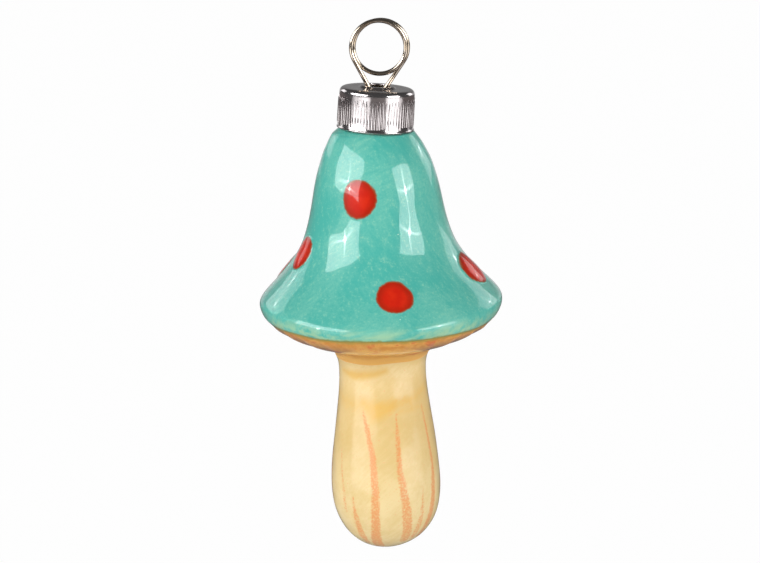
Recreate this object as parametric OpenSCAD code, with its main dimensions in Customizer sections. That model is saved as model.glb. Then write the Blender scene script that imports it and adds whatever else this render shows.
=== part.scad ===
// Hanging ceramic mushroom: a hollow glazed casting with raised spots, a fluted metal crown on its neck,
// and a sprung wire hanger that goes through the crown and grips the neck's bore.
// Millimetres, as it hangs: +Z up, +X to the right, the front faces -Y, with the origin at the centre of the
// hanger's eye.

/* [Lean] */
// Lean of the hanger, crown and neck to the right, in degrees
neck_lean = 3.1; // [0:0.1:5]
// Lean of the mushroom to the left, in degrees
body_lean = 1.8; // [0:0.1:4]

/* [Stem] */
// Height of the stem, from its foot to the start of the gills
stem_h = 48.3; // [42:0.1:60]
// Widest part of the stem
bulb_w = 25.5; // [20:0.1:30]
// Height of the stem's widest part above its foot
bulb_z = 15.2; // [10:0.1:20]
// Narrowest part of the stem
waist_w = 20; // [16:0.1:22]
// Drop from the gills' start to the stem's narrowest part
waist_drop = 6.2; // [4:0.1:8]
// Width where the stem's fillet ends and the gills start
gill_start_w = 24.2; // [22:0.1:25]

/* [Cap] */
// Width of the cap at its rim
cap_w = 55.4; // [48:0.1:62]
// Rise of the underside from the gills' start to the rim's widest point
rim_rise = 10.5; // [9:0.1:14]
// Width of the bell where its flare turns upright
flare_w = 33.9; // [32:0.1:40]
// Height of that turn above the rim
flare_h = 15; // [12:0.1:18]
// Width of the bell where its dome begins to close
dome_w = 29; // [26:0.1:31]
// Height of the dome's start above the rim
dome_h = 24.6; // [21:0.1:28]
// Width of the shoulder round the neck
shoulder_w = 18.5; // [18.1:0.1:20]
// Height of the bell, from the rim to the shoulder
bell_h = 38.9; // [35:0.1:44]

/* [Walls and glaze] */
// Thickness of the cast wall with its glaze
wall = 2.8; // [2:0.1:3.6]
// Thickness of the glaze
glaze_t = 0.3; // [0.2:0.05:0.5]
// Outside of the bare neck
neck_w = 15.4; // [14.4:0.1:15.8]
// Bore of the neck
bore_w = 11.4; // [10:0.1:12]

/* [Gills] */
// Number of moulded gills
gill_count = 27; // [18:1:36]
// Width of one gill
gill_w = 0.7; // [0.4:0.05:1.2]
// Height that a gill stands proud
gill_h = 0.35; // [0.2:0.05:0.6]

/* [Spots] */
// Usual width of a spot
spot_w = 8.4; // [6:0.1:10]
// Height that a spot stands proud of the glaze
spot_h = 0.6; // [0.4:0.05:1]
// Share of a spot's width that its raised middle takes
spot_middle = 0.72; // [0.5:0.02:0.85]
// Share of a spot's height at which its outer step stands
spot_step = 0.55; // [0.4:0.05:0.7]

/* [Crown] */
// Width of the crown's plain top band
crown_w = 17; // [16.8:0.1:18]
// Height of the crown
crown_h = 9.2; // [8:0.1:11]
// Thickness of the crown's sheet metal
crown_t = 0.35; // [0.25:0.05:0.5]
// Radius of the crown's rounded shoulder
crown_round = 1.1; // [0.8:0.1:1.6]
// Height of the plain band above the flutes, with the shoulder
plain_h = 1.9; // [1.6:0.1:4]
// Number of flutes
flute_count = 72; // [60:2:120]
// Depth of one flute
flute_d = 0.2; // [0.1:0.05:0.3]
// Distance that the flutes' roots stand proud of the plain band
flute_root = 0.05; // [0.03:0.01:0.1]
// Distance that the bead stands proud of the flutes
bead_proud = 0.05; // [0.03:0.01:0.1]
// Height of the plain bead along the crown's lower edge
bead_h = 0.45; // [0.3:0.05:0.8]
// Width of the raised boss round the hole, at its foot
boss_w = 8; // [7.4:0.1:9]
// Height of the boss
boss_h = 0.45; // [0.3:0.05:0.8]

/* [Hanger] */
// Diameter of the hanger's wire
wire_d = 1; // [0.8:0.05:1.2]
// Radius of the eye to the middle of the wire
eye_r = 5.97; // [5:0.05:7]
// Step between the eye's turns, front to back
eye_pitch = 1.5; // [1.45:0.05:2]
// Sideways shift of the first and last turns from the middle
eye_shift = 0.4; // [0:0.05:0.6]
// Angle between each leg and the neck's axis, above the crown, in degrees
leg_splay = 31; // [28:0.5:34]
// Distance from the eye's centre to the top of the crown's plate
crown_drop = 9.1; // [8.6:0.1:11]
// Depth under the crown's plate at which the legs are closest
pinch_drop = 1.3; // [1:0.1:2]
// Distance from a leg's pinch at which its bend starts
pinch_bend = 0.8; // [0.6:0.1:1.2]
// Distance from a leg's bearing place at which its bend starts
bear_bend = 2; // [1:0.1:3]
// Distance of each leg from the middle plane, inside the neck
leg_offset = 0.6; // [0.5:0.05:0.8]
// Length of the straight taper below the place where a leg bears on the bore
tip_len = 11.5; // [9:0.5:14]
// Distance of each leg's tip from the neck's axis
tip_x = 4.2; // [3.6:0.1:4.6]

/* [Clearances] */
// Gap between the crown's plate and the neck's lip
seat_gap = 0.1; // [0.05:0.05:0.3]
// Gap between the crown's lower edge and the shoulder
skirt_gap = 0.12; // [0.05:0.01:0.4]
// Gap between a leg and the neck's bore
leg_gap = 0.12; // [0.08:0.01:0.3]
// Gap between a leg and the hole in the crown
hole_gap = 0.08; // [0.05:0.01:0.2]

/* [Hidden] */
// Spots, each as its azimuth from the front, its height as a share of the bell's, and its width and length as
// shares of the usual
SPOTS = [
    [-16, 0.673, 0.98, 1.02],
    [8.5, 0.172, 1.02, 0.82],
    [-71.5, 0.328, 0.98, 0.93],
    [-106, 0.2, 1.01, 0.98],
    [76, 0.205, 1.14, 1.04],
    [121, 0.52, 0.9, 1.02],
    [-151, 0.49, 0.93, 1],
    [163, 0.16, 1, 0.93],
    [-176, 0.75, 0.79, 0.83],
];
SPOT_NODES = [for (i = [1:len(SPOTS)]) str("spot_", i)];
CERAMIC_NODES = ["ceramic_body", "cap_glaze", "gill_glaze", "stem_glaze"];

// Roundness of turned shapes
$fn = 96;
// Straight steps in each piece of the mushroom's outline
steps = 12;
// Steps from the stem's waist to the line where cream glaze meets orange
cream_steps = 6;
// Steps from the gills' start to the line where orange glaze meets teal
orange_steps = 7;
// Corners of the wire's section
wire_sides = 8;
// Degrees of the eye's turn between two rings of the wire
ring_deg = 15;
// Corners of a spot's outline
spot_sides = 20;
// Shares of a spot's width by which its outline swells twice and three times round, as a hand lays it
spot_swell = [0.02, 0.015];
// A little extra so that cuts go right through
eps = 0.5;

body_h = stem_h + rim_rise + bell_h;
rim_z = stem_h + rim_rise;
kink = neck_lean + body_lean;

// The crown's plate is as high as the hanger says, and its skirt ends above the tilted shoulder
skirt_z = -crown_drop - crown_h;
flute_r = crown_w / 2 + flute_root;
crown_rim_r = flute_r + flute_d + bead_proud;
neck_drop = crown_drop + crown_h + skirt_gap + shoulder_w / 2 * sin(kink);
neck_top_z = -crown_drop - crown_t - seat_gap;

// Places along the outline from the foot to the shoulder:
// radius, height, direction of travel, pull of the curve before it, pull of the curve after it
OUTLINE = [
    [0, 0, 0, 0, bulb_w * 0.277],
    [bulb_w / 2, bulb_z, 90, bulb_z * 0.673, (stem_h - bulb_z) * 0.255],
    [waist_w / 2, stem_h - waist_drop, 90, (stem_h - bulb_z) * 0.179, waist_drop * 0.314],
    [gill_start_w / 2, stem_h, 14, waist_drop * 0.273, (cap_w - gill_start_w) * 0.157],
    [cap_w / 2, rim_z, 90, rim_rise * 0.528, flare_h * 0.147],
    [flare_w / 2, rim_z + flare_h, 110.5, flare_h * 0.547, (dome_h - flare_h) * 0.323],
    [dome_w / 2, rim_z + dome_h, 100.3, (dome_h - flare_h) * 0.427, (bell_h - dome_h) * 0.301],
    [shoulder_w / 2, body_h, 125.5, (bell_h - dome_h) * 0.386, 0],
];

// A place on the outline, moved inwards at a right angle to the surface
function moved(p, inset) = [max(0, p[0] - inset * sin(p[2])), p[1] + inset * cos(p[2])];
function heading(p) = [cos(p[2]), sin(p[2])];
function cubic(a, b, c, d, u) =
    pow(1 - u, 3) * a + 3 * u * pow(1 - u, 2) * b + 3 * u * u * (1 - u) * c + pow(u, 3) * d;

// One curved piece between two places, with its pulls drawn in as much as its chord
function piece(p, q, inset) =
    let (
        a = moved(p, inset),
        d = moved(q, inset),
        k = norm(d - a) / norm(moved(q, 0) - moved(p, 0)),
        b = a + heading(p) * p[4] * k,
        c = d - heading(q) * q[3] * k
    )
    [for (i = [0:steps - 1]) cubic(a, b, c, d, i / steps)];

// The whole outline, drawn inwards by inset
function outline(inset) = concat(
    [for (k = [0:len(OUTLINE) - 2]) each piece(OUTLINE[k], OUTLINE[k + 1], inset)],
    [moved(OUTLINE[len(OUTLINE) - 1], inset)]
);

// The section between two drawn-in outlines, from one step to another
function band(outer, inner, from, to) =
    let (a = outline(outer), b = outline(inner))
    concat([for (i = [from:to]) a[i]], [for (i = [to:-1:from]) b[i]]);

last_step = steps * (len(OUTLINE) - 1);
cream_end = steps * 2 + cream_steps;
orange_end = steps * 3 + orange_steps;
rim_step = steps * 4;

module in_neck() rotate([0, neck_lean, 0]) children();
module in_body() in_neck()
    translate([0, 0, -neck_drop]) rotate([0, -kink, 0]) translate([0, 0, -body_h]) children();

// A solid turned from the outline and closed at the top
module turned(inset) {
    edge = outline(inset);
    rotate_extrude() polygon(concat(edge, [[0, edge[last_step][1]]]));
}

module neck_tube(w, from, to) in_neck() translate([0, 0, from]) cylinder(h = to - from, d = w);

// Cast earthenware: bell, underside, stem and neck in one hollow piece
module ceramic_body() color("antiquewhite") difference() {
    union() {
        in_body() turned(glaze_t);
        neck_tube(neck_w, -neck_drop - wall, neck_top_z);
    }
    in_body() turned(wall);
    neck_tube(bore_w, -neck_drop - wall * 2, neck_top_z + eps);
}

// Glaze that has gathered round the foot of the neck, level with the crown's edge
module neck_foot() {
    low = neck_drop + shoulder_w / 2 * sin(kink);
    high = -skirt_z + skirt_gap;
    in_neck() translate([0, 0, -low])
        cylinder(h = low - high, r1 = shoulder_w / 2 * cos(kink), r2 = crown_rim_r);
}

// Teal glaze from the shoulder, over the bell and round the rim
module cap_glaze() color("mediumturquoise") difference() {
    union() {
        in_body() rotate_extrude() polygon(band(0, glaze_t, orange_end, last_step));
        neck_foot();
    }
    in_body() turned(glaze_t);
    neck_tube(neck_w, -neck_drop - wall, neck_top_z);
}

// Orange glaze on the underside, with the moulded gills under it
module gill_glaze() color("sandybrown") in_body() {
    rotate_extrude() polygon(band(0, glaze_t, cream_end, orange_end));
    intersection() {
        rotate_extrude() polygon(band(-gill_h, glaze_t / 2, cream_end, orange_end));
        for (i = [0:gill_count - 1]) rotate([0, 0, (i + 0.5) * 360 / gill_count])
            translate([0, -gill_w / 2, 0]) cube([cap_w, gill_w, body_h]);
    }
}

// Cream glaze over the stem
module stem_glaze() color("moccasin") in_body() rotate_extrude() polygon(band(0, glaze_t, 0, cream_end));

// Radius and direction of the bell at a height, read from its outline
BELL = [for (i = [rim_step:last_step]) outline(0)[i]];
function bell_r(z) = lookup(z, [for (p = BELL) [p[1], p[0]]]);
function bell_tilt(z) = atan2(bell_r(z - 1) - bell_r(z + 1), 2);

// Outline of a spot, a little uneven, each one in its own way
function spot_outline(s, share) = [
    for (k = [0:spot_sides - 1])
    let (
        a = k * 360 / spot_sides,
        uneven = spot_swell[0] * cos(2 * a + s[0]) + spot_swell[1] * cos(3 * a + s[1] * 540),
        r = share * spot_w * (0.5 + uneven)
    )
    [s[3] * r * cos(a), s[2] * r * sin(a)]
];

// A part of a spot: the bell's own surface, raised, inside the spot's outline
module spot_layer(s, share, rise) {
    reach = spot_w * 2;
    z = rim_z + s[1] * bell_h;
    intersection() {
        rotate_extrude() polygon(band(-rise, 0, rim_step - steps, last_step));
        rotate([0, 0, s[0] - 90]) translate([bell_r(z), 0, z]) rotate([0, 90 - bell_tilt(z), 0])
            translate([0, 0, -reach / 2]) linear_extrude(reach) polygon(spot_outline(s, share));
    }
}

// Raised dot of red glaze
module spot(s) color("orangered") in_body() {
    spot_layer(s, 1, spot_h * spot_step);
    spot_layer(s, spot_middle, spot_h);
}

// Half-turned arc of points for the crown's rounded shoulder
function shoulder_arc(r, z, radius) = [for (a = [90:-15:0]) [r + radius * cos(a), z + radius * sin(a)]];

// Legs of the hanger: where each meets the eye, the crown, its pinch, the bore and its tip
eye_start = 180 + leg_splay;
eye_turn = 540 + 2 * leg_splay;
eye_depth = eye_pitch * eye_turn / 360;
LEG_TOP = [eye_r * cos(eye_start) - eye_shift, -eye_depth / 2, eye_r * sin(eye_start)];
pinch_z = -crown_drop - pinch_drop;
LEG_PINCH = [LEG_TOP[0] + (LEG_TOP[2] - pinch_z) * tan(leg_splay), -leg_offset, pinch_z];
bear_r = bore_w / 2 - wire_d / 2 - leg_gap;
bear_z = -neck_drop + wire_d;
LEG_BEAR = [-sqrt(bear_r * bear_r - leg_offset * leg_offset), -leg_offset, bear_z];
LEG_TIP = [-tip_x, -leg_offset, bear_z - tip_len];

// Each leg passes the top of the boss at this distance from the axis, which sets the hole
boss_z = -crown_drop + boss_h;
at_boss = LEG_PINCH + (LEG_TOP - LEG_PINCH) * (boss_z - pinch_z) / (LEG_TOP[2] - pinch_z);
hole_r = norm([at_boss[0], at_boss[1]]) + wire_d / 2 + hole_gap;

// Pressed sheet-metal cap with a plain band, fine flutes and a bead
module crown() color("silver") in_neck() translate([0, 0, -crown_drop]) {
    r = crown_w / 2;
    inner_r = r - crown_t;
    top = boss_w / 2 - boss_h;
    flute_h = crown_h - plain_h - bead_h / 2;
    star = [
        for (i = [0:flute_count * 4 - 1])
        let (a = i * 90 / flute_count, d = flute_d * (0.5 - 0.5 * cos(i * 90)))
        [(flute_r + d) * cos(a), (flute_r + d) * sin(a)]
    ];
    difference() {
        union() {
            rotate_extrude() polygon(concat(
                [[0, boss_h], [top, boss_h], [boss_w / 2, 0]],
                shoulder_arc(r - crown_round, -crown_round, crown_round),
                [[r, -crown_h], [0, -crown_h]]
            ));
            translate([0, 0, -crown_h + bead_h / 2]) linear_extrude(flute_h) polygon(star);
            translate([0, 0, -crown_h]) cylinder(h = bead_h, r = crown_rim_r);
        }
        rotate_extrude() polygon(concat(
            [[0, boss_h - crown_t], [top, boss_h - crown_t], [boss_w / 2, -crown_t]],
            shoulder_arc(r - crown_round, -crown_round, crown_round - crown_t),
            [[inner_r, -crown_h - eps], [0, -crown_h - eps]]
        ));
        translate([0, 0, -crown_h]) cylinder(h = crown_h * 2, r = hole_r);
    }
}

// A bend of the wire between two straight runs, as a short curve round the corner
function bend(a, b, c, radius) =
    let (p = b + (a - b) * radius / norm(a - b), q = b + (c - b) * radius / norm(c - b))
    [for (i = [0:4]) let (u = i / 4) pow(1 - u, 2) * p + 2 * u * (1 - u) * b + u * u * q];

// The same points turned half round the neck's axis, from the last to the first
function turned_back(points) =
    [for (i = [len(points) - 1:-1:0]) [-points[i][0], -points[i][1], points[i][2]]];

// The wire's middle line: up one leg, round the eye from front to back, and down the other leg
function eye_point(t) = let (a = eye_start - t, u = t / eye_turn) [
    eye_r * cos(a) + eye_shift * (2 * u - 1), eye_depth * (u - 0.5), eye_r * sin(a)
];
LEG = concat(
    [LEG_TIP],
    bend(LEG_TIP, LEG_BEAR, LEG_PINCH, bear_bend),
    bend(LEG_BEAR, LEG_PINCH, LEG_TOP, pinch_bend)
);
eye_rings = ceil(eye_turn / ring_deg);
EYE = [for (i = [0:eye_rings]) eye_point(eye_turn * i / eye_rings)];
WIRE = concat(LEG, EYE, turned_back(LEG));

// Least gap between two stretches of the wire that lie more than a third of a turn apart
apart = ceil(120 / ring_deg);
wire_gap = min([
    for (i = [0:len(WIRE) - 1]) for (j = [i + 1:len(WIRE) - 1])
    if (j - i > apart || (i < len(LEG) && j - i > len(LEG))) norm(WIRE[i] - WIRE[j])
]) - wire_d;
echo(str("least gap between the wire's own turns: ", wire_gap, " mm"));

// A round tube along a line of points that never runs front to back
module tube(points, diameter, sides) {
    n = len(points);
    rings = [
        for (i = [0:n - 1])
        let (
            t = points[min(i + 1, n - 1)] - points[max(i - 1, 0)],
            side = cross(t, [0, 1, 0]),
            x = side / norm(side),
            up = cross(x, t),
            y = up / norm(up)
        )
        for (k = [0:sides - 1])
        let (a = k * 360 / sides)
        points[i] + diameter / 2 * (x * cos(a) + y * sin(a))
    ];
    walls = [
        for (i = [0:n - 2]) for (k = [0:sides - 1])
        let (a = i * sides + k, b = i * sides + (k + 1) % sides)
        each [[a, b, b + sides], [a, b + sides, a + sides]]
    ];
    first = [for (k = [1:sides - 2]) [0, k + 1, k]];
    end = (n - 1) * sides;
    last = [for (k = [1:sides - 2]) [end, end + k, end + k + 1]];
    polyhedron(rings, concat(walls, first, last));
}

// Spring wire: an eye of one and two thirds turns with two sprung legs
module hanger_wire() color("gainsboro") in_neck() tube(WIRE, wire_d, wire_sides);

ceramic_body();
cap_glaze();
gill_glaze();
stem_glaze();
for (i = [0:len(SPOTS) - 1]) spot(SPOTS[i]);
crown();
hanger_wire();
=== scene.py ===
"""Hanging ceramic mushroom with a fluted metal crown and a sprung wire eye, dressed for its CAD frame."""
import math

import bpy
import numpy as np
from mathutils import Matrix


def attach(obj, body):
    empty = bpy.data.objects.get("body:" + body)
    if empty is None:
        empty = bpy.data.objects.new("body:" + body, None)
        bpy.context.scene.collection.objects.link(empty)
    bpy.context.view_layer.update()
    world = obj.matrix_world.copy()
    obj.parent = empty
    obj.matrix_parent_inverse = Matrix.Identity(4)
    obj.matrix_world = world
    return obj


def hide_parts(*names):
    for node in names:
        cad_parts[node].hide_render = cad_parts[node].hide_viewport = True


# The camera stands half a metre in front of the mushroom and looks 13 degrees down at its middle,
# with the whole ornament upright in the frame.
MM = 0.001
SENSOR_WIDTH = 36
VIEW_DISTANCE = 500 * MM
VIEW_HEIGHT = math.radians(13)
VIEW_WIDTH = 173.77 * MM
VIEW_MIDDLE = (0.09 * MM, 0, -53.7 * MM)

camera = bpy.data.objects.new("camera", bpy.data.cameras.new("camera"))
bpy.context.scene.collection.objects.link(camera)
camera.data.sensor_width = SENSOR_WIDTH
camera.data.lens = SENSOR_WIDTH * VIEW_DISTANCE / VIEW_WIDTH
camera.data.clip_start = 0.01
camera.location = (
    VIEW_MIDDLE[0],
    VIEW_MIDDLE[1] - VIEW_DISTANCE * math.cos(VIEW_HEIGHT),
    VIEW_MIDDLE[2] + VIEW_DISTANCE * math.sin(VIEW_HEIGHT),
)
camera.rotation_euler = (math.pi / 2 - VIEW_HEIGHT, 0, 0)
bpy.context.scene.camera = camera
bpy.context.scene.view_settings.view_transform = "Standard"

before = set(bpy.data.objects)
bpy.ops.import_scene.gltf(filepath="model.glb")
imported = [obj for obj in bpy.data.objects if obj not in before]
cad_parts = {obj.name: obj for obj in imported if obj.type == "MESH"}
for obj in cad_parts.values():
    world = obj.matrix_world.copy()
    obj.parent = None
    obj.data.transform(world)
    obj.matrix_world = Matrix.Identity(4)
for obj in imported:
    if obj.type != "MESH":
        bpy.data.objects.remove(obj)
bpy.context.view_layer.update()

# Casting: white earthenware, slip-cast in one hollow piece with its bare neck on top, and fired once
# before it was glazed. Only the neck stays bare, under the crown.
NECK_LEAN = math.radians(3.1)
KINK = math.radians(4.9)
BODY_H = 97.7
NECK_DROP = 19.21
NECK_TOP = -9.55
NECK_R = 7.7
BORE_R = 5.7
LIP_R = 0.35
LIP_EDGE = 0.1
WALL = 2.8
GLAZE_T = 0.3
COLUMNS = 288

# Places along the outline: radius, height, direction of travel in degrees, and how far the curve is
# pulled along that direction before and after the place
OUTLINE = (
    (0, 0, 0, 0, 7.06),  # foot
    (12.75, 15.2, 90, 10.23, 8.44),  # bulb of the stem
    (10, 42.1, 90, 5.92, 1.95),  # waist of the stem
    (12.3, 48.3, 32, 2.7, 5.2),  # start of the underside
    (27.7, 59.2, 90, 5.54, 2.5),  # rim
    (16.95, 73.8, 110.5, 8.2, 3.1),  # flare of the bell
    (14.5, 83.4, 100.3, 4.1, 4.3),  # dome of the bell
    (9.25, 97.7, 125.5, 5.52, 0),  # shoulder under the crown
)
FOOT = 0
RIM = 4
SHOULDER = 7

# Sideways drift of the casting at each height, because its mould was cut by hand
DRIFT = (
    (0, -0.45), (3, -0.15), (7, 0), (46, 0), (50, 0.4), (54, 0.5),
    (57.5, 0.15), (60, 0), (91, 0), (94.5, -0.2), (98, -0.4),
)

# Droop of the soft rim at each height. It is full at the front and soon fades to both sides.
DROOP = ((47, 0), (56, 1.65), (61, 1.65), (72, 0))
DROOP_FOCUS = 5

# Waves that hand finishing left in the surface: depth, how many go round, twist with height, and start.
# They fade inside a small radius, so that they leave no crease at the foot.
WAVES = (
    (0.07, 2, 0.05, 0.6),
    (0.05, 3, -0.09, 2.1),
    (0.03, 5, 0.21, 0),
    (0.016, 11, -0.37, 1.3),
    (0.012, 17, 0.55, 4),
)
WAVES_FULL_R = 9

IN_NECK = Matrix.Rotation(NECK_LEAN, 4, "Y")
IN_BODY = (
    IN_NECK
    @ Matrix.Translation((0, 0, -NECK_DROP))
    @ Matrix.Rotation(-KINK, 4, "Y")
    @ Matrix.Translation((0, 0, -BODY_H))
)


def placed(points, frame_matrix):
    """Points in millimetres, taken through a frame to metres."""
    turn = np.array(frame_matrix)
    return (points @ turn[:3, :3].T + turn[:3, 3]) * MM


def eased(x, knots):
    """Value at x between knots, with a soft start and stop at each."""
    at = np.array([knot[0] for knot in knots], float)
    value = np.array([knot[1] for knot in knots], float)
    i = np.clip(np.searchsorted(at, x) - 1, 0, len(at) - 2)
    u = np.clip((x - at[i]) / (at[i + 1] - at[i]), 0, 1)
    return value[i] + (value[i + 1] - value[i]) * u * u * (3 - 2 * u)


def cubic(a, b, c, d, u):
    """Place at share u of a curve from a to d, pulled towards b and then c."""
    return (1 - u) ** 3 * a + 3 * u * (1 - u) ** 2 * b + 3 * u * u * (1 - u) * c + u ** 3 * d


def outline(t, inset):
    """Radius and height at step t of the outline, drawn in at a right angle by inset."""
    t, inset = np.broadcast_arrays(np.asarray(t, float), np.asarray(inset, float))
    radius = np.zeros(t.shape)
    height = np.zeros(t.shape)
    for k in range(len(OUTLINE) - 1):
        here = (t >= k) & ((t < k + 1) | (k == len(OUTLINE) - 2))
        if not here.any():
            continue
        p, q = OUTLINE[k], OUTLINE[k + 1]
        u = t[here] - k
        s = inset[here]
        head_p, head_q = math.radians(p[2]), math.radians(q[2])
        a = np.stack([p[0] - s * math.sin(head_p), p[1] + s * math.cos(head_p)])
        d = np.stack([q[0] - s * math.sin(head_q), q[1] + s * math.cos(head_q)])
        a[0] = np.maximum(a[0], 0)
        share = np.hypot(*(d - a)) / math.hypot(q[0] - p[0], q[1] - p[1])
        b = a + np.array([[math.cos(head_p)], [math.sin(head_p)]]) * p[4] * share
        c = d - np.array([[math.cos(head_q)], [math.sin(head_q)]]) * q[3] * share
        radius[here], height[here] = cubic(a, b, c, d, u)
    return radius, height


def by_hand(around, height):
    """Small unevenness of the hand-finished surface, in millimetres."""
    return sum(deep * np.sin(count * around + twist * height + start) for deep, count, twist, start in WAVES)


def shaped(t, around, inset=0.0):
    """Places on the casting's surface, in metres. Around is measured from the front to the right."""
    radius, height = outline(t, inset)
    height = height - eased(height, DROOP) * (0.5 + 0.5 * np.cos(around)) ** DROOP_FOCUS
    radius = radius + by_hand(around, height) * np.minimum(radius / WAVES_FULL_R, 1)
    sideways = radius * np.sin(around) + eased(height, DRIFT)
    points = np.stack(np.broadcast_arrays(sideways, -radius * np.cos(around), height), axis=-1)
    return placed(points, IN_BODY)


def once_round(count):
    """Equal angles from the front all the way round."""
    return np.arange(count) * 2 * math.pi / count


AROUND = once_round(COLUMNS)


def level_ring(radius, height, around):
    """A level ring of points, in millimetres."""
    level = np.full(len(around), height)
    return np.stack([radius * np.sin(around), -radius * np.cos(around), level], axis=-1)


def hoop(radius, height):
    """A level ring round the neck's axis, in metres."""
    return placed(level_ring(radius, height, AROUND), IN_NECK)


def turned(name, rows, ring=False):
    """A mesh of rows round an axis, each row a ring, or one point where an end closes.

    With ring, the last row is joined to the first.
    """
    first = np.cumsum([0] + [len(row) for row in rows])
    steps = [(i, i + 1) for i in range(len(rows) - 1)]
    if ring:
        steps.append((len(rows) - 1, 0))
    faces = []
    for low, high in steps:
        a, b = int(first[low]), int(first[high])
        n = max(len(rows[low]), len(rows[high]))
        for j in range(n):
            k = (j + 1) % n
            if len(rows[low]) == 1:
                faces.append((a, b + k, b + j))
            elif len(rows[high]) == 1:
                faces.append((a + j, a + k, b))
            else:
                faces.append((a + j, a + k, b + k, b + j))
    mesh = bpy.data.meshes.new(name)
    mesh.from_pydata(np.concatenate(rows).tolist(), [], faces)
    mesh.shade_smooth()
    mesh.set_sharp_from_angle(angle=math.radians(50))
    piece = bpy.data.objects.new(name, mesh)
    bpy.context.scene.collection.objects.link(piece)
    return piece


def mark(piece, name, values):
    """Stores one number per point of the mesh, for its material."""
    kept = piece.data.attributes.new(name, "FLOAT", "POINT")
    kept.data.foreach_set("value", np.asarray(values, np.float32).ravel())


class Thread:
    """One output in a material's nodes. Sums on it add Math nodes, and node() adds any other."""

    def __init__(self, tree, socket=None):
        self.tree = tree
        self.socket = socket

    def node(self, kind, values=None, give=0, **settings):
        """Adds a node with its settings, then its values or links, and gives one of its outputs."""
        made = self.tree.nodes.new(kind)
        for key, setting in settings.items():
            setattr(made, key, setting)
        for key, value in (values or {}).items():
            if isinstance(value, Thread):
                self.tree.links.new(value.socket, made.inputs[key])
            else:
                made.inputs[key].default_value = value
        return Thread(self.tree, made.outputs[give])

    def output(self, give):
        """Another output of the same node."""
        return Thread(self.tree, self.socket.node.outputs[give])

    def maths(self, kind, *values):
        return self.node("ShaderNodeMath", dict(enumerate(values)), operation=kind)

    def __add__(self, other):
        return self.maths("ADD", self, other)

    def __sub__(self, other):
        return self.maths("SUBTRACT", self, other)

    def __rsub__(self, other):
        return self.maths("SUBTRACT", other, self)

    def __mul__(self, other):
        return self.maths("MULTIPLY", self, other)

    __radd__ = __add__
    __rmul__ = __mul__

    def between(self, low, high):
        """0 below low and 1 above high, with a soft rise."""
        return self.node(
            "ShaderNodeMapRange",
            {"Value": self, "From Min": low, "From Max": high},
            interpolation_type="SMOOTHSTEP",
        )

    def blend(self, below, above):
        """Colour below where this is 0 and above where it is 1."""
        return self.node("ShaderNodeMix", {0: self, 6: below, 7: above}, give=2, data_type="RGBA")

    def place(self, stretch=(1, 1, 1)):
        """Place on the piece, in metres, squeezed or stretched."""
        at = self.node("ShaderNodeTexCoord", give="Object")
        return self.node("ShaderNodeMapping", {"Vector": at, "Scale": stretch})

    def hatched(self, tilt, stretch):
        """Place on the piece, stretched along a line that leans by tilt degrees from upright."""
        at = self.node("ShaderNodeTexCoord", give="Object")
        lean = {"Vector": at, "Rotation": (0, math.radians(tilt), 0), "Scale": (1, 1, stretch)}
        return self.node("ShaderNodeMapping", lean, vector_type="TEXTURE")

    def noise(self, place, scale, detail=2.0, roughness=0.5, distortion=0.0):
        """Soft random values from 0 to 1, mostly near the middle."""
        values = {
            "Vector": place,
            "Scale": scale,
            "Detail": detail,
            "Roughness": roughness,
            "Distortion": distortion,
        }
        return self.node("ShaderNodeTexNoise", values)

    def mark(self, name):
        """Numbers stored on the mesh by the function mark."""
        return self.node("ShaderNodeAttribute", give="Fac", attribute_name=name)

    def bump(self, height, depth, under=None):
        """Relief of a depth in millimetres, over another relief if one is given."""
        values = {"Height": height, "Distance": depth * MM, "Strength": 1.0}
        if under:
            values["Normal"] = under
        return self.node("ShaderNodeBump", values)


def rgb(red, green, blue):
    """A colour as it is seen, 0 to 255, turned into the shader's own numbers."""
    linear = [((c / 255 + 0.055) / 1.055) ** 2.4 if c > 10 else c / 3295 for c in (red, green, blue)]
    return (*linear, 1)


def material(name):
    """A new material with its nodes, and the start of a thread in them."""
    made = bpy.data.materials.new(name)
    made.use_nodes = True
    return made, Thread(made.node_tree)


def surface(made, **values):
    """Sets or links the sockets of the material's own surface."""
    shader = made.node_tree.nodes["Principled BSDF"]
    for key, value in values.items():
        socket = shader.inputs[key.replace("_", " ")]
        if isinstance(value, Thread):
            made.node_tree.links.new(value.socket, socket)
        else:
            socket.default_value = value


def wall_rows(start, stop, count, inset):
    """Rings of the casting between two steps of its outline."""
    return [shaped(t, AROUND, inset) for t in np.linspace(start, stop, count)]


def foot_point(inset):
    """The one point at the foot where a skin of the casting closes."""
    return shaped(FOOT, np.zeros(1), inset)


# From the foot up the outside, over the neck's lip, down its bore and back along the inside of the wall
casting_rows = [foot_point(GLAZE_T)]
casting_rows += wall_rows(FOOT + 0.04, SHOULDER - 0.03, 130, GLAZE_T)
casting_rows += [hoop(NECK_R, z) for z in (-18.9, -17, -14, -11, NECK_TOP - LIP_R)]
casting_rows += [hoop(NECK_R - LIP_EDGE, NECK_TOP - LIP_EDGE), hoop(NECK_R - LIP_R, NECK_TOP)]
casting_rows += [hoop(BORE_R + LIP_R, NECK_TOP), hoop(BORE_R + LIP_EDGE, NECK_TOP - LIP_EDGE)]
casting_rows += [hoop(BORE_R, z) for z in (NECK_TOP - LIP_R, -14, -18, -21.5)]
casting_rows += wall_rows(SHOULDER - 0.4, FOOT + 0.04, 70, WALL)
casting_rows += [foot_point(WALL)]
casting = turned("casting", casting_rows)

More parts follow.
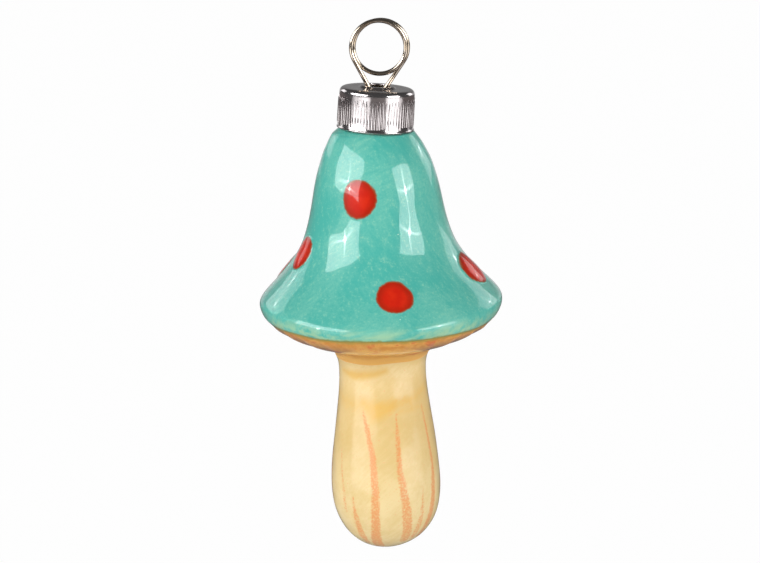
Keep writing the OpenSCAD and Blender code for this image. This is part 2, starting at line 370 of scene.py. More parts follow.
bisque, thread = material("bisque")
clay = thread.noise(thread.place(), 900, 4, 0.6)
speck = thread.noise(thread.place(), 5200, 2)
surface(
    bisque,
    Base_Color=clay.between(0.3, 0.7).blend(rgb(226, 214, 192), rgb(240, 231, 214)),
    Roughness=clay * 0.15 + 0.78,
    Normal=thread.bump(clay + speck * 0.4, 0.06),
)
casting.data.materials.append(bisque)
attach(casting, "mushroom")
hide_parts("ceramic_body")

# Cap glaze: turquoise, brushed thick over the bell and round the rim and fired to a deep gloss.
# It thins to an olive line where it meets the orange.
CAP_ROWS = 150
COLLAR_Z = -18.5
COLLAR_PULL = 0.3
COLLAR_FLARE = 0.5
COLLAR_T = 0.2

# Steps of the outline at which the teal begins and the stem's cream ends
TEAL_STEP = 3.71
CREAM_STEP = 2.7

# The teal's lower edge is drawn in, and it gains its full thickness over a sixtieth of the way up.
EDGE_TUCK = 0.12
EDGE_GAIN = 60


def teal_from(around):
    """Step of the outline where the teal begins, a little uneven as brushed."""
    return (
        TEAL_STEP
        + 0.17 * np.cos(around)
        - 0.03 * np.sin(around)
        + 0.008 * np.sin(5 * around + 1)
        + 0.006 * np.sin(9 * around + 2.6)
    )


def cream_to(around):
    """Step of the outline where the stem's cream ends."""
    return (
        CREAM_STEP
        - 0.08 * np.cos(around)
        + 0.03 * np.sin(3 * around + 0.7)
        + 0.012 * np.sin(7 * around)
    )


def length_along(rows):
    """Length in millimetres from the first row to each row."""
    steps = [np.zeros(COLUMNS)] + [np.linalg.norm(b - a, axis=1) / MM for a, b in zip(rows, rows[1:])]
    return np.cumsum(steps, axis=0)


def cap_row(u, inset):
    """A ring of the teal, between its lower edge at 0 and the casting's shoulder at 1."""
    start = teal_from(AROUND)
    return shaped(start + (SHOULDER - start) * u, AROUND, inset)


# Past the casting's shoulder the teal turns in under the crown and ends on the neck.
cap_outer = [
    cap_row(u, EDGE_TUCK * np.clip(1 - u * EDGE_GAIN, 0, 1) ** 2) for u in np.linspace(0, 1, CAP_ROWS)
]
shoulder_ring = cap_outer[-1]
shoulder_way = shoulder_ring - shaped(SHOULDER - 0.015, AROUND)
shoulder_way /= np.linalg.norm(shoulder_way, axis=1)[:, None]
shoulder_pull = shoulder_ring + shoulder_way * COLLAR_PULL * MM
neck_pull = hoop(NECK_R + COLLAR_FLARE, COLLAR_Z)
neck_ring = hoop(NECK_R, COLLAR_Z)
for u in (0.15, 0.3, 0.45, 0.6, 0.75, 0.9, 1):
    cap_outer.append(cubic(shoulder_ring, shoulder_pull, neck_pull, neck_ring, u))
cap_inner = [hoop(NECK_R, COLLAR_Z - COLLAR_T)] + [cap_row(u, GLAZE_T) for u in np.linspace(0.99, 0, 40)]
cap = turned("cap", cap_outer + cap_inner, ring=True)
mark(cap, "from_edge", np.concatenate([length_along(cap_outer), np.zeros((len(cap_inner), COLUMNS))]))


def teal_colour(thread):
    """Colour of the teal glaze: deeper and paler pools crossed by the brush, with a few pinholes."""
    pools = thread.noise(thread.place((1, 1, 0.6)), 85, 3, 0.55, 0.3)
    across = thread.noise(thread.hatched(62, 7), 1300, 3, 0.6)
    down = thread.noise(thread.hatched(-28, 6), 1100, 3, 0.6)
    grain = thread.noise(thread.place(), 2600, 2)
    hatch = pools.between(0.42, 0.58)
    hatch = across * hatch + down * (1 - hatch)
    depth = (pools * 0.5 + hatch * 0.3 + grain * 0.2).between(0.36, 0.64)
    teal = depth.blend(rgb(74, 175, 162), rgb(112, 193, 175))
    teal = ((hatch * 0.5 + grain * 0.5).between(0.54, 0.68) * 0.35).blend(teal, rgb(150, 205, 176))
    hole = thread.node("ShaderNodeTexVoronoi", {"Vector": thread.place(), "Scale": 165.0})
    return ((1 - hole.between(0.012, 0.035)) * 0.75).blend(teal, rgb(208, 236, 218))


def gloss_bump(thread):
    """Slow unevenness of a thick glaze, with a very fine orange peel."""
    slow = thread.noise(thread.place(), 190, 1)
    fine = thread.noise(thread.place(), 1500, 1)
    return thread.bump(fine, 0.004, thread.bump(slow, 0.06))


def glossy(made, thread, colour, **values):
    """Lays the clear gloss that all the glazes share over a colour."""
    surface(
        made,
        Base_Color=colour,
        Coat_IOR=1.49,
        Specular_IOR_Level=0.15,
        Normal=gloss_bump(thread),
        **values,
    )


teal_glaze, thread = material("teal_glaze")
edge = thread.mark("from_edge") + (thread.noise(thread.place(), 900, 3) - 0.5) * 0.9
olive = 1 - edge.between(0.05, 0.7)
thin = 1 - thread.mark("from_edge").between(0.6, 4.4)
thin = thin * thread.noise(thread.hatched(80, 9), 700, 3).between(0.38, 0.62)
teal = (thin * 0.65).blend(teal_colour(thread), rgb(176, 206, 158))
teal = olive.blend(teal, rgb(140, 148, 84))
glossy(teal_glaze, thread, teal, Roughness=0.32, Coat_Weight=1.0, Coat_Roughness=0.012)
cap.data.materials.append(teal_glaze)
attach(cap, "mushroom")
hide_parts("cap_glaze")

# Gills: 27 low ridges moulded into the underside, washed with ochre orange that pools between them,
# with a pale painted highlight along the ridges.
GILL_COUNT = 27
GILL_H = 0.3
GILL_SHARP = 2.6
GILL_FADE = ((0.35, 0), (0.75, 1), (0.9, 1), (1, 0))
GILL_ROWS = 48
VALLEY_TUCK = 0.06
gill_steps = np.linspace(0, 1, GILL_ROWS)


def ridge(around, u):
    """Height of the gills, 0 to 1: narrow ridges that fade at both ends, half filled at the front."""
    wave = 0.5 + 0.5 * np.cos(GILL_COUNT * around + 0.9 * u + 0.25 * np.sin(3 * around + 1))
    unfilled = 1 - 0.55 * np.maximum(np.cos(around), 0) ** 3
    return unfilled * wave ** GILL_SHARP * eased(np.asarray(u), GILL_FADE)


def gill_row(u, lift, inset):
    """A ring of the orange, between the cream at 0 and the teal at 1."""
    t = cream_to(AROUND) + (teal_from(AROUND) - cream_to(AROUND)) * u
    return shaped(t, AROUND, inset - lift * ridge(AROUND, u))


gill_outer = [gill_row(u, GILL_H, VALLEY_TUCK) for u in gill_steps]
gill_inner = [gill_row(u, 0, GLAZE_T) for u in np.linspace(1, 0, 20)]
gills = turned("gills", gill_outer + gill_inner, ring=True)
nothing = np.zeros((len(gill_inner), COLUMNS))
along = length_along(gill_outer)
mark(gills, "ridge", np.concatenate([[ridge(AROUND, u) for u in gill_steps], nothing]))
mark(gills, "from_cream", np.concatenate([along, nothing]))
mark(gills, "from_teal", np.concatenate([along[-1] - along, nothing]))

orange_glaze, thread = material("orange_glaze")
wash = thread.noise(thread.place((1, 1, 1.6)), 230, 3, 0.6, 0.4)
streak = thread.noise(thread.place((1, 1, 0.4)), 800, 3, 0.6)
ochre = (wash * 0.6 + streak * 0.4).between(0.38, 0.62).blend(rgb(212, 142, 62), rgb(230, 170, 86))
ochre = (wash.between(0.53, 0.63) * 0.75).blend(ochre, rgb(208, 98, 52))
# Painted highlight: the ridge tops are tinted pale mauve where light would catch them.
ochre = (thread.mark("ridge").between(0.3, 0.95) * 0.6).blend(ochre, rgb(216, 176, 156))
rough_edge = (thread.noise(thread.place(), 900, 3) - 0.5) * 1.2
ochre = (1 - (thread.mark("from_teal") + rough_edge).between(0.1, 1.0)).blend(ochre, rgb(178, 145, 68))
# Painted light: the ochre is lightened near the cream, to brighten the fold under the cap where shade falls.
ochre = (1 - (thread.mark("from_cream") + rough_edge).between(1, 4)).blend(ochre, rgb(230, 176, 96))
coat = thread.mark("from_cream").between(2.5, 9) * 0.8 + 0.2
glossy(orange_glaze, thread, ochre, Roughness=0.35, Coat_Weight=coat, Coat_Roughness=0.015)
gills.data.materials.append(orange_glaze)
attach(gills, "mushroom")
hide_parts("gill_glaze")

# Stem glaze: warm cream, with long orange strokes brushed up the stem before the clear gloss.
STEM_ROWS = 130
STROKE_SOFT = 0.45
WASH_SOFT = 2.6
FAR_FROM_GILLS = 50
stem_steps = np.linspace(0.01, 1, STEM_ROWS)


def stem_row(u, inset):
    """A ring of the cream, between the foot at 0 and its upper edge at 1."""
    return shaped(cream_to(AROUND) * u, AROUND, inset)


stem_outer = [stem_row(u, 0.0) for u in stem_steps]
stem_inner = [stem_row(u, GLAZE_T) for u in np.linspace(1, 0.01, 40)]
stem = turned("stem", [foot_point(0.0)] + stem_outer + stem_inner + [foot_point(GLAZE_T)])

# Each stroke: its strength, then heights above the foot, degrees round the stem and widths of the brush
STROKES = (
    (0.9, ((35, -26, 0.4), (31.5, -21, 1.1), (25.7, -14, 1.4), (17, -11, 1.8), (8, -13, 2.1), (3, -16, 2.5))),
    (1.0, ((5, -21, 0.4), (1.8, -22, 0.5), (1.1, -14, 0.6), (1.8, -7, 0.5), (5, -10, 0.4))),
    (0.75, ((34.5, 15, 0.4), (29.7, 15, 0.9), (22, 15, 1.4), (15.2, 19, 1.9), (9, 23, 2.5), (4, 26, 2.3))),
    (0.9, ((35, 55, 0.4), (30, 58, 0.7), (21.3, 61, 1.1), (15.2, 58, 1.6), (9.5, 57, 2.1), (4, 54, 1.6))),
    (0.6, ((16.6, 41, 0.3), (11.3, 41, 0.9), (6.5, 40, 1.7), (4, 39, 1.4))),
    (0.75, ((15, -37, 0.3), (9.8, -36, 1.4), (5, -35, 2.0), (3, -34, 1.4))),
    (0.5, ((26, -56, 0.3), (22.4, -55, 0.6), (15.2, -50, 1.0), (11, -50, 0.9))),
    (0.85, ((32, -88, 0.4), (26, -86, 0.9), (16, -83, 1.4), (9, -80, 1.6))),
    (0.8, ((35, -121, 0.4), (27, -117, 1.2), (17, -112, 1.8), (6, -113, 2.4))),
    (0.9, ((34, -152, 0.4), (29, -149, 1.1), (18, -144, 1.6), (4, -147, 2.4))),
    (0.6, ((17, -131, 0.3), (11, -131, 1.2), (5, -132, 1.8))),
    (0.8, ((36, 178, 0.4), (28, 181, 1.2), (18, 184, 1.7), (5, 181, 2.3))),
    (0.6, ((16, 163, 0.3), (10, 164, 1.1), (5, 163, 1.7))),
    (0.9, ((35, 147, 0.4), (27, 150, 1.2), (16, 146, 1.8), (4, 149, 2.4))),
    (0.75, ((34, 116, 0.4), (26, 119, 1.1), (15, 117, 1.7), (5, 114, 2.2))),
    (0.8, ((33, 86, 0.4), (24, 88, 1.0), (14, 86, 1.6), (5, 87, 2.1))),
)
# Broad washes of ochre round the top of the stem, given the same way
WASHES = (
    (1.5, ((43.8, -62, 0.6), (43.3, -40, 1.2), (43.6, -20, 1.3), (44.6, 4, 0.5))),
    (0.45, ((40, -100, 2), (37, -60, 2.6), (36.2, -30, 3.5))),
    (0.95, ((37, -26, 2.5), (35.2, -9, 5), (36.6, 12, 2.4))),
    (0.6, ((36.6, 10, 2), (37.6, 45, 3), (40, 80, 3.5), (39, 110, 3))),
    (0.5, ((35, 18, 1.4), (35.5, 48, 2), (33.5, 66, 1))),
    (0.6, ((43.5, 60, 1), (42.8, 90, 1.8), (44, 125, 0.8))),
    (0.7, ((38, 120, 2.5), (35.5, 165, 4.5), (37.5, 205, 3), (40, 250, 2))),
    (0.6, ((43.6, 170, 0.8), (42.9, 200, 1.8), (43.8, 240, 0.8))),
)


def brushed(strokes, height, radius, soft):
    """How much of the strokes lies on each point, 0 to 1, with edges soft over some millimetres."""
    total = np.zeros(height.shape)
    for strength, path in strokes:
        for (high, start, wide), (low, stop, wider) in zip(path, path[1:]):
            x = ((AROUND - math.radians(start) + math.pi) % (2 * math.pi) - math.pi) * radius
            y = height - high
            way_x = math.radians(stop - start) * radius
            way_y = low - high
            share = np.clip((x * way_x + y * way_y) / (way_x ** 2 + way_y ** 2), 0, 1)
            away = np.hypot(x - share * way_x, y - share * way_y)
            half = (wide + (wider - wide) * share) / 2
            total = np.maximum(total, strength * np.clip((half - away) / soft + 0.5, 0, 1))
    return total


def mark_stem(name, foot, outer):
    """Stores a number for the point at the foot and each point of the outer skin, and 0 for the inner."""
    inner = np.zeros(len(stem_inner) * COLUMNS + 1)
    mark(stem, name, np.concatenate([[foot], np.ravel(outer), inner]))


stem_radius, stem_height = outline(stem_steps[:, None] * cream_to(AROUND), 0.0)
mark_stem("stroke", 0, brushed(STROKES, stem_height, stem_radius, STROKE_SOFT))
mark_stem("wash", 0, brushed(WASHES, stem_height, stem_radius, WASH_SOFT))
along = length_along(stem_outer)
mark_stem("from_gills", FAR_FROM_GILLS, along[-1] - along)

cream_glaze, thread = material("cream_glaze")
pool = thread.noise(thread.place(), 150, 3, 0.55)
hatch = thread.noise(thread.hatched(48, 9), 1500, 3, 0.6)
grain = thread.noise(thread.place(), 2400, 2)
mottle = (pool * 0.55 + hatch * 0.3 + grain * 0.15).between(0.38, 0.62)
cream = mottle.blend(rgb(231, 204, 143), rgb(240, 218, 165))
below = thread.mark("from_gills")
upper = below.between(2, 9) * (1 - below.between(16, 36))
cream = (upper * 0.5).blend(cream, rgb(215, 182, 112))
wash = (thread.mark("wash") * 1.1 + (pool - 0.5) * 1.2 + (hatch - 0.5) * 1.0).between(0.05, 1.2)
cream = (wash * 0.75).blend(cream, rgb(230, 184, 92))
ring = below + (thread.noise(thread.place(), 500, 3) - 0.5) * 2
cream = ((1 - ring.between(0.0, 3.0)) * 0.25).blend(cream, rgb(230, 186, 106))
stroke = (thread.mark("stroke") * 1.2 + (grain - 0.5) * 2.4 + (hatch - 0.5) * 0.6).between(0.15, 1.2)
cream = (stroke * 0.8).blend(cream, rgb(234, 150, 88))
glossy(cream_glaze, thread, cream, Roughness=0.35, Coat_Weight=1.0, Coat_Roughness=0.015)
stem.data.materials.append(cream_glaze)
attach(stem, "mushroom")
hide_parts("stem_glaze")

# Spots: nine thick drops of orange-red glaze laid on the teal. Each stands a little proud, with a
# rounded edge that thins to brown where it ran into the teal.
SPOT_W = 8.4
SPOT_LOW = 0.2
SPOT_HIGH = 0.6
SPOT_FULL = 1.0
SPOT_EDGE = 1.06
SPOT_UNDER = 0.25
SPOT_ROWS = 22
SPOT_COLUMNS = 64
BELL_FOOT = 58.8
BELL_H = 38.9
# Each spot: degrees round the bell, its middle as a share of the bell's height, its width and length
# as shares of the common width, and how far it stands proud
SPOTS = (
    (-16, 0.673, 0.98, 1.02, SPOT_LOW),
    (8.5, 0.172, 1.02, 0.82, SPOT_LOW),
    (-71.5, 0.328, 0.98, 0.93, SPOT_HIGH),
    (-106, 0.2, 1.01, 0.98, SPOT_HIGH),
    (77, 0.205, 1.2, 1.04, SPOT_FULL),
    (121, 0.52, 0.9, 1.02, SPOT_HIGH),
    (-151, 0.49, 0.93, 1, SPOT_HIGH),
    (163, 0.16, 1, 0.93, SPOT_HIGH),
    (-176, 0.75, 0.79, 0.83, SPOT_HIGH),
)
bell_t = np.linspace(RIM, SHOULDER, 1200)
bell_r, bell_z = outline(bell_t, 0.0)
bell_s = np.concatenate([[0], np.cumsum(np.hypot(np.diff(bell_r), np.diff(bell_z)))])
spot_around = once_round(SPOT_COLUMNS)


def domed(share, high):
    """Height of a drop at a share of its half width: round at the edge, and tucked in past it."""
    return high * max(1 - (share / SPOT_EDGE) ** 2.6, 0) ** 0.9 - 0.02 * (share > 1.05)


def spot_row(spot, share, lift):
    """A ring on the bell round a spot's middle, at a share of its half width, standing off by lift."""
    turn, rise, width, length, _ = spot
    uneven = 1 + 0.04 * np.cos(2 * spot_around + turn) + 0.03 * np.cos(3 * spot_around + rise * 9)
    half = share * SPOT_W / 2 * uneven
    middle = np.interp(BELL_FOOT + rise * BELL_H, bell_z, bell_s)
    s = middle + half * length * np.sin(spot_around)
    t = np.interp(s, bell_s, bell_t)
    r = np.interp(s, bell_s, bell_r)
    around = math.radians(turn) + half * width * np.cos(spot_around) / r
    return shaped(t, around, -lift)


red_glaze, thread = material("red_glaze")
out = thread.mark("out") + (thread.noise(thread.hatched(-40, 3), 1400, 3) - 0.5) * 0.15
heart = thread.noise(thread.place(), 330, 3).between(0.35, 0.65).blend(rgb(200, 28, 6), rgb(210, 40, 10))
deep = out.between(0.45, 0.92).blend(heart, rgb(172, 32, 6))
worn = out.between(0.86, 0.97).blend(deep, rgb(146, 76, 42))
red = out.between(0.94, 1.04).blend(worn, teal_colour(thread))
glossy(red_glaze, thread, red, Roughness=0.3, Coat_Weight=1.0, Coat_Roughness=0.012)
for number, spot in enumerate(SPOTS, 1):
    proud = spot[4]
    shares = np.linspace(0.05, 1.1, SPOT_ROWS)
    top = [spot_row(spot, share, domed(share, proud)) for share in shares]
    under = [spot_row(spot, share, -SPOT_UNDER) for share in (1.08, 0.6, 0.2)]
    middle_top = spot_row(spot, 0.0, proud)[:1]
    middle_under = spot_row(spot, 0.0, -SPOT_UNDER)[:1]
    rows = [middle_top] + [row[::-1] for row in top + under] + [middle_under]
    drop = turned("spot_" + str(number), rows)
    outs = np.repeat(shares, SPOT_COLUMNS)
    mark(drop, "out", np.concatenate([[0], outs, np.ones(len(under) * SPOT_COLUMNS + 1)]))
    drop.data.materials.append(red_glaze)
    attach(drop, "mushroom")
    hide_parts("spot_" + str(number))

# Crown: one disc of bright plated sheet metal, drawn into a cap, pierced, and rolled in a fluting
# die so that fine ribs run down to a bead along its lower edge.
CROWN_R = 8.47
CROWN_TOP = -9.1
CROWN_FOOT = -18.3
CROWN_T = 0.35
CROWN_ROUND = 1.1
CROWN_BORE_R = 8.13
BEAD_R = 0.2
FLUTE_COUNT = 72
FLUTE_WALL_R = 8.55
FLUTE_R = 0.36
FLUTE_RISE = 0.24
FLUTE_TOP = -11.35
FLUTE_FOOT = CROWN_FOOT + 0.65
FLUTE_FADE = 0.97
HOLE_R = 2.85
HOLE_LIP = 0.12
CROWN_COLUMNS = 192
# Rise, width and length of the least and the largest rib, as shares of a round one
RIB_LEAST = (FLUTE_RISE * 0.1, 0.75, 0.96)
RIB_MOST = (FLUTE_RISE * 1.9, 1.15, 1.0)


def arc(r, z, radius, start, stop, count):
    """Places on an arc round r and z, between two angles in degrees."""
    turn = np.radians(np.linspace(start, stop, count))
    return list(zip(r + radius * np.cos(turn), z + radius * np.sin(turn)))


bead = [(8.4, CROWN_FOOT), (8.6, CROWN_FOOT)] + arc(8.54, CROWN_FOOT + BEAD_R, BEAD_R, -75, 60, 8)
band = [(8.56, CROWN_FOOT + 0.5), (8.52, -15), (8.5, FLUTE_TOP), (CROWN_R, -10.6)]
plate = arc(CROWN_R - CROWN_ROUND, CROWN_TOP - CROWN_ROUND, CROWN_ROUND, 0, 88, 12)
plate += [(6.2, CROWN_TOP), (5, CROWN_TOP - 0.03), (4.25, CROWN_TOP - 0.02)]
boss = arc(4.25, CROWN_TOP + 0.18, 0.2, -90, -130, 4) + arc(3.6, CROWN_TOP + 0.25, 0.2, 50, 90, 5)
boss += [(3.2, CROWN_TOP + 0.46)] + arc(HOLE_R + HOLE_LIP, CROWN_TOP + 0.33, HOLE_LIP, 90, 180, 5)
lining = [(HOLE_R, CROWN_TOP + 0.1), (3.4, CROWN_TOP + 0.08)]
lining += [(4.1, CROWN_TOP - CROWN_T), (7.2, CROWN_TOP - CROWN_T)]
lining += arc(CROWN_R - CROWN_ROUND, CROWN_TOP - CROWN_ROUND, CROWN_ROUND - CROWN_T, 80, 0, 6)
lining += [(CROWN_BORE_R, -14), (CROWN_BORE_R, CROWN_FOOT + 0.1)]
crown_turn = once_round(CROWN_COLUMNS)
crown_rows = [level_ring(r, z, crown_turn) * MM for r, z in bead + band + plate + boss + lining]
crown_shell = turned("crown_shell", crown_rows, ring=True)

crown_metal, thread = material("crown_metal")
handled = thread.noise(thread.place(), 260, 3, 0.6)
drawn = thread.noise(thread.place((1, 1, 0.08)), 2600, 2)
surface(
    crown_metal,
    Base_Color=handled.between(0.35, 0.7).blend(rgb(228, 222, 222), rgb(209, 202, 203)),
    Metallic=1.0,
    Roughness=handled.between(0.3, 0.75) * 0.06 + 0.12,
    Normal=thread.bump(drawn, 0.002, thread.bump(handled, 0.006)),
)


class Tree:
    """A Geometry Nodes tree with named inputs, and its modifier on a piece."""

    def __init__(self, name, **sizes):
        self.group = bpy.data.node_groups.new(name, "GeometryNodeTree")
        sockets = self.group.interface
        sockets.new_socket("Geometry", in_out="INPUT", socket_type="NodeSocketGeometry")
        self.sizes = {}
        for size, value in sizes.items():
            kind = "NodeSocketInt" if isinstance(value, int) else "NodeSocketFloat"
            socket = sockets.new_socket(size, in_out="INPUT", socket_type=kind)
            self.sizes[socket.identifier] = value
        sockets.new_socket("Geometry", in_out="OUTPUT", socket_type="NodeSocketGeometry")
        self.inputs = self.group.nodes.new("NodeGroupInput")

    def size(self, name):
        """A named input of the tree, such as a size or the geometry of the piece."""
        return self.inputs.outputs[name]

    def node(self, kind, values=None, give=0, **settings):
        """Adds a node and gives one of its outputs. A list links several outputs to one input."""
        made = self.group.nodes.new(kind)
        for key, setting in settings.items():
            setattr(made, key, setting)
        for key, value in (values or {}).items():
            for source in value if isinstance(value, list) else [value]:
                if isinstance(source, bpy.types.NodeSocket):
                    self.group.links.new(source, made.inputs[key])
                else:
                    made.inputs[key].default_value = source
        return made.outputs[give]

    def maths(self, kind, *values):
        return self.node("ShaderNodeMath", dict(enumerate(values)), operation=kind)

    def finish(self, geometry, made):
        """Realizes everything, gives it its material and ends the tree."""
        real = self.node("GeometryNodeRealizeInstances", {"Geometry": geometry})
        dressed = self.node("GeometryNodeSetMaterial", {"Geometry": real, "Material": made})
        end = self.group.nodes.new("NodeGroupOutput")
        self.group.links.new(dressed, end.inputs["Geometry"])

    def bake(self, source, name, place):
        """Runs the tree on a source piece and keeps the result as a plain mesh in its place."""
        modifier = source.modifiers.new(name, "NODES")
        modifier.node_group = self.group
        for identifier, value in self.sizes.items():
            modifier[identifier] = value
        seen = source.evaluated_get(bpy.context.evaluated_depsgraph_get())
        mesh = bpy.data.meshes.new_from_object(seen)
        mesh.transform(place)
        source.modifiers.clear()
        bpy.data.objects.remove(source)
        piece = bpy.data.objects.new(name, mesh)
        bpy.context.scene.collection.objects.link(piece)
        return piece


# Each rib stands on the wall at a regular step, with a width and height of its own, and dies out
# towards its top.
flutes = Tree(
    "flutes",
    count=FLUTE_COUNT,
    wall=FLUTE_WALL_R * MM,
    top=FLUTE_TOP * MM,
    foot=FLUTE_FOOT * MM,
    rib=FLUTE_R * MM,
)
low = flutes.node("ShaderNodeCombineXYZ", {"Z": flutes.size("foot")})
high = flutes.node("ShaderNodeCombineXYZ", {"Z": flutes.size("top")})
line = flutes.node("GeometryNodeCurvePrimitiveLine", {"Start": low, "End": high})
line = flutes.node("GeometryNodeResampleCurve", {"Curve": line, "Count": 9})
along_rib = flutes.node("GeometryNodeSplineParameter", give="Factor")
fading = flutes.maths("MULTIPLY", flutes.maths("POWER", along_rib, 3.0), FLUTE_FADE)
thick = flutes.maths("SQRT", flutes.maths("SUBTRACT", 1.0, fading))
section = flutes.node("GeometryNodeCurvePrimitiveCircle", {"Resolution": 10, "Radius": flutes.size("rib")})
sweep = {"Curve": line, "Profile Curve": section, "Scale": thick, "Fill Caps": True}
rib = flutes.node("GeometryNodeCurveToMesh", sweep)
rib = flutes.node("GeometryNodeSetShadeSmooth", {"Geometry": rib, "Shade Smooth": True})
wall = {"Vertices": flutes.size("count"), "Radius": flutes.size("wall")}
stands = flutes.node("GeometryNodeMeshCircle", wall)
spread = {"Min": RIB_LEAST, "Max": RIB_MOST, "Seed": 7}
uneven = flutes.node("FunctionNodeRandomValue", spread, data_type="FLOAT_VECTOR")
outwards = flutes.node("GeometryNodeInputPosition")
facing = flutes.node("FunctionNodeAlignRotationToVector", {"Vector": outwards}, axis="X")
placing = {"Points": stands, "Instance": rib, "Rotation": facing, "Scale": uneven}
ribs = flutes.node("GeometryNodeInstanceOnPoints", placing)
both = flutes.node("GeometryNodeJoinGeometry", {"Geometry": [ribs, flutes.size("Geometry")]})
flutes.finish(both, crown_metal)
crown = flutes.bake(crown_shell, "crown_cap", IN_NECK)
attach(crown, "crown")
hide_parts("crown")

# Hanger: one length of bright spring wire, wound into an eye of one and two thirds turns. Its two
# legs cross into the crown's hole, and their tips spread and grip inside the neck.
WIRE_R = 0.5
WIRE_STEP = 0.35
EYE_R = 5.97
EYE_SHIFT = 0.4
EYE_START = math.radians(211)
EYE_WINDS = 602 / 360
EYE_PITCH = 1.5
EYE_DEPTH = EYE_PITCH * EYE_WINDS
LEG_SPLAY = math.radians(31)
LEG_OFFSET = 0.6
LEG_CLEAR = 0.12
PINCH_Z = -10.4
PINCH_BEND = 1.4
BEAR_Z = -NECK_DROP + 1
BEAR_R = BORE_R - WIRE_R - LEG_CLEAR
BEAR_BEND = 2
TIP_X = 4.2
TIP_DROP = 11.5


def bend(a, b, c, radius):
    """A short curve round the corner b, between the straight runs to a and c."""
    p = b + (a - b) * radius / np.linalg.norm(a - b)
    q = b + (c - b) * radius / np.linalg.norm(c - b)
    return [(1 - u) ** 2 * p + 2 * u * (1 - u) * b + u * u * q for u in np.linspace(0, 1, 9)]


leg_top = np.array([EYE_R * math.cos(EYE_START) - EYE_SHIFT, -EYE_DEPTH / 2, EYE_R * math.sin(EYE_START)])
leg_pinch = np.array([leg_top[0] + (leg_top[2] - PINCH_Z) * math.tan(LEG_SPLAY), -LEG_OFFSET, PINCH_Z])
leg_bear = np.array([-math.sqrt(BEAR_R ** 2 - LEG_OFFSET ** 2), -LEG_OFFSET, BEAR_Z])
leg_tip = np.array([-TIP_X, -LEG_OFFSET, BEAR_Z - TIP_DROP])
leg = [leg_tip]
leg += bend(leg_tip, leg_bear, leg_pinch, BEAR_BEND)
leg += bend(leg_bear, leg_pinch, leg_top, PINCH_BEND)
eye = []
for share in np.linspace(0, 1, 121):
    turn = EYE_START - EYE_WINDS * 2 * math.pi * share
    x = EYE_R * math.cos(turn) + EYE_SHIFT * (2 * share - 1)
    eye.append((x, EYE_DEPTH * (share - 0.5), EYE_R * math.sin(turn)))
wire_path = np.array(leg + eye + [p * (-1, -1, 1) for p in leg[::-1]]) * MM
path_mesh = bpy.data.meshes.new("wire_path")
path_mesh.from_pydata(wire_path.tolist(), [(i, i + 1) for i in range(len(wire_path) - 1)], [])
path = bpy.data.objects.new("wire_path", path_mesh)
bpy.context.scene.collection.objects.link(path)

hanger_metal, thread = material("hanger_metal")
handled = thread.noise(thread.place(), 500, 3, 0.6)
surface(
    hanger_metal,
    Base_Color=handled.between(0.35, 0.7).blend(rgb(224, 212, 196), rgb(198, 180, 156)),
    Metallic=1.0,
    Roughness=handled.between(0.3, 0.75) * 0.1 + 0.1,
    Normal=thread.bump(handled, 0.004),
)
winding = Tree("winding", wire=WIRE_R * MM, spacing=WIRE_STEP * MM)
wire = winding.node("GeometryNodeMeshToCurve", {"Mesh": winding.size("Geometry")})
steps = {"Curve": wire, "Length": winding.size("spacing")}
wire = winding.node("GeometryNodeResampleCurve", steps, mode="LENGTH")
section = winding.node("GeometryNodeCurvePrimitiveCircle", {"Resolution": 16, "Radius": winding.size("wire")})
sweep = {"Curve": wire, "Profile Curve": section, "Fill Caps": True}
wire = winding.node("GeometryNodeCurveToMesh", sweep)
wire = winding.node("GeometryNodeSetShadeSmooth", {"Geometry": wire, "Shade Smooth": True})
winding.finish(wire, hanger_metal)
hanger = winding.bake(path, "hanger", IN_NECK)
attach(hanger, "hanger")
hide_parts("hanger_wire")

# Studio: a white paper floor well below the foot and a white surround. Two large soft boxes stand at
# the front left and right, two low ones under them, and two at the back that light the edges.
FLOOR_Z = -0.45
FLOOR_HALF = 6.0
corners = [(x * FLOOR_HALF, y * FLOOR_HALF, FLOOR_Z) for x, y in ((-1, -1), (1, -1), (1, 1), (-1, 1))]
floor_mesh = bpy.data.meshes.new("floor")
floor_mesh.from_pydata(corners, [], [(0, 1, 2, 3)])
floor = bpy.data.objects.new("floor", floor_mesh)
bpy.context.scene.collection.objects.link(floor)

# The paper looks white to the camera. What the gloss and the metal mirror of it is darker: a grey
# floor that is paler in front, with a bright patch far out at the front left and right, and a white
# far end behind.
paper, thread = material("paper")
surface(paper, Base_Color=(0.85, 0.85, 0.85, 1), Roughness=0.9, Specular_IOR_Level=0.1)
seen = thread.node("ShaderNodeLightPath", give="Is Camera Ray")
mirrored = seen.output("Is Glossy Ray")
on_floor = thread.node("ShaderNodeSeparateXYZ", {0: thread.place()})
aside = thread.maths("ABSOLUTE", on_floor)
back = on_floor.output("Y")
behind = (back - aside * 1.3).between(1.2, 3.0)
ahead = (0 - back - aside * 0.6).between(0.25, 1.1)
reach = aside * aside + back * back
glow = (aside + back * 0.5).between(0, 0.2) * (1 - (aside + back * 3).between(0, 0.2)) * reach.between(2.5, 4)
tone = glow.blend(ahead.blend(rgb(92, 82, 80), rgb(132, 124, 122)), (1.4, 1.4, 1.4, 1))
shade = thread.node("ShaderNodeEmission", {"Color": tone, "Strength": 1.0})
white = thread.node("ShaderNodeEmission", {"Color": (1, 1, 1, 1), "Strength": 1.0})
lit = Thread(paper.node_tree, paper.node_tree.nodes["Principled BSDF"].outputs[0])
ground = thread.node("ShaderNodeMixShader", {0: mirrored * 0.8, 1: lit, 2: shade})
whitened = seen * 0.985 + mirrored * behind * 0.6 + (1 - seen) * (1 - mirrored) * 0.34
mixed = thread.node("ShaderNodeMixShader", {0: whitened, 1: ground, 2: white})
paper.node_tree.links.new(mixed.socket, paper.node_tree.nodes["Material Output"].inputs[0])
floor.data.materials.append(paper)

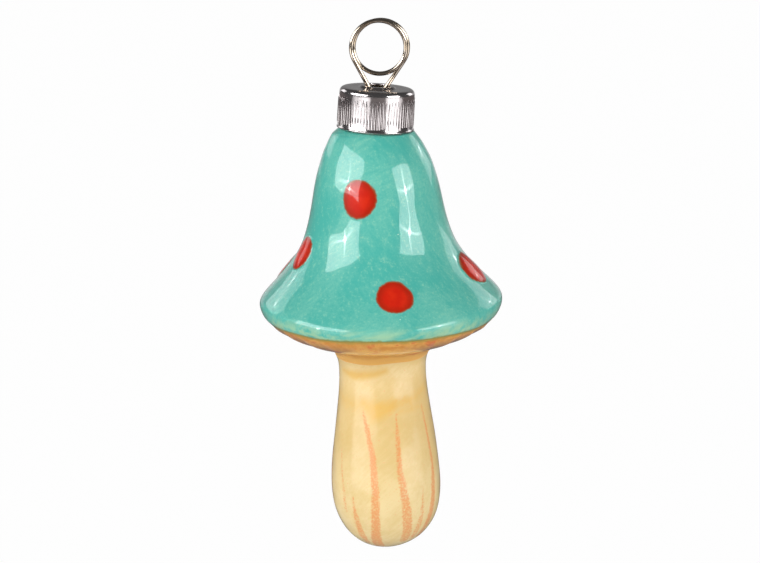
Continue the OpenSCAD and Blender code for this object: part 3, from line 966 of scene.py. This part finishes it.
# The surround is white to the camera too, and dim in the gloss but for a pale backdrop low behind.
world = bpy.data.worlds.new("surround")
bpy.context.scene.world = world
world.use_nodes = True
sky = Thread(world.node_tree)
way = sky.node("ShaderNodeTexCoord", give="Generated")
back = sky.node("ShaderNodeSeparateXYZ", {0: way}, give="Y")
up = back.output("Z")
seen = sky.node("ShaderNodeLightPath", give="Is Camera Ray")
mirrored = seen.output("Is Glossy Ray")
backdrop = back.between(0.72, 0.92) * up.between(-0.3, -0.1) * (1 - up.between(0.0, 0.13) * 0.7)
room = backdrop * 0.5 + 0.06
level = mirrored * room + (1 - mirrored) * (room * 0.35 + 0.26)
level = seen + (1 - seen) * level
sky_node = world.node_tree.nodes["Background"]
world.node_tree.links.new(level.socket, sky_node.inputs["Strength"])
sky_node.inputs["Color"].default_value = (1, 1, 1, 1)

# The bulb of a box shows through its cloth as a bright heart, crossed by a level and an upright
# streak, each with its reach to the side and its reach up and down.
LAMP_DISTANCE = 0.7
LAMP_AIM = np.array([0, 0, -0.06])
HEART_R = 0.018
LEVEL_STREAK = (0.2, 0.01)
UPRIGHT_STREAK = (0.012, 0.14)
STREAK_SHARE = 0.2


def falling(square, reach):
    """1 at the middle, falling off softly over a reach in metres, from the square of a distance."""
    return square.maths("EXPONENT", square * (-1 / (reach * reach)))


def lamp(name, turn, height, width, tall, level, heart=0.0, sink=0.0):
    """A soft box at an azimuth from the front and a height, both in degrees.

    Heart is how bright its bulb shows, and sink how far below the middle, as a share of half its height.
    """
    light = bpy.data.lights.new(name, "AREA")
    light.shape = "RECTANGLE"
    light.size = width
    light.size_y = tall
    light.energy = math.pi * width * tall
    light.use_nodes = True
    nodes = Thread(light.node_tree)
    at = nodes.node("ShaderNodeNewGeometry", give="Parametric")
    split = nodes.node("ShaderNodeSeparateXYZ", {0: at})
    u = (split - 0.5) * 2
    v = (split.output("Y") - 0.5) * 2
    edges = (1 - (u * u).between(0.9, 1.0)) * (1 - (v * v).between(0.9, 1.0))
    across = u * u * (width * width / 4)
    upright = (v + sink) * (v + sink) * (tall * tall / 4)
    bulb = falling(across + upright, HEART_R)
    streaks = falling(across, LEVEL_STREAK[0]) * falling(upright, LEVEL_STREAK[1])
    streaks = streaks + falling(across, UPRIGHT_STREAK[0]) * falling(upright, UPRIGHT_STREAK[1])
    strength = edges * (bulb * heart + streaks * (heart * STREAK_SHARE) + 1) * level
    emission = light.node_tree.nodes["Emission"]
    light.node_tree.links.new(strength.socket, emission.inputs["Strength"])
    holder = bpy.data.objects.new(name, light)
    bpy.context.scene.collection.objects.link(holder)
    a, e = math.radians(turn), math.radians(height)
    way = np.array([math.sin(a) * math.cos(e), -math.cos(a) * math.cos(e), math.sin(e)])
    holder.location = LAMP_AIM + LAMP_DISTANCE * way
    holder.rotation_euler = (math.pi / 2 - e, 0, a)


lamp("left_box", -58.5, 25.3, 0.69, 0.32, 4.9, heart=10.6, sink=0.62)
lamp("right_box", 54, 20, 0.46, 0.34, 4.6, heart=11.3, sink=0.25)
lamp("left_low", -49, -10, 0.8, 0.25, 1.35)
lamp("right_low", 58, -14, 0.66, 0.24, 1.1, heart=0.8)
lamp("left_rear", -132, 21, 0.34, 0.28, 1.1, heart=3.0)
lamp("right_rear", 129, 19, 0.3, 0.34, 1.2, heart=6.0)
